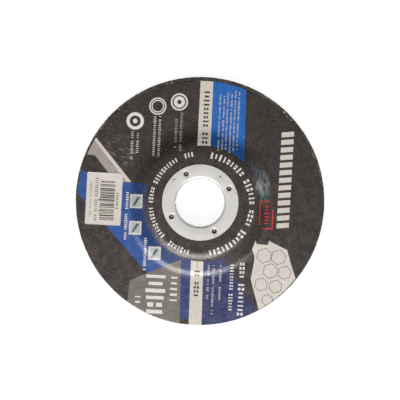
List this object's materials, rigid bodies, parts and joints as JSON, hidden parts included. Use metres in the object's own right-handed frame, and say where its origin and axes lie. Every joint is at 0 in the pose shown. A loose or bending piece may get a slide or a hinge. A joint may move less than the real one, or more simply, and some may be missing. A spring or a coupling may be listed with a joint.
{
  "type": "grinding disc",
  "caption": "Round bonded abrasive disc with a raised hub, a printed label on its upper face, a steel ring round its bore and a small paper sticker.",
  "frame": {"origin": "on the disc's axis, at the plane the rim's work face rests on", "axes": "+Z along the axis towards the label side, on which the hub is raised; +X and +Y lie in the rim's plane, the sticker is towards -X"},
  "size_m": [0.115, 0.115, 0.0082],
  "materials": {
    "abrasive": "coarse bonded grain",
    "label": "satin print on woven paper",
    "steel": "matt tinned",
    "sticker": "matt"
  },
  "bodies": {
    "root": {"abrasive_body": "abrasive", "face_label": "label", "arbor_ring": "steel", "paper_sticker": "sticker"}
  },
  "joints": []
}
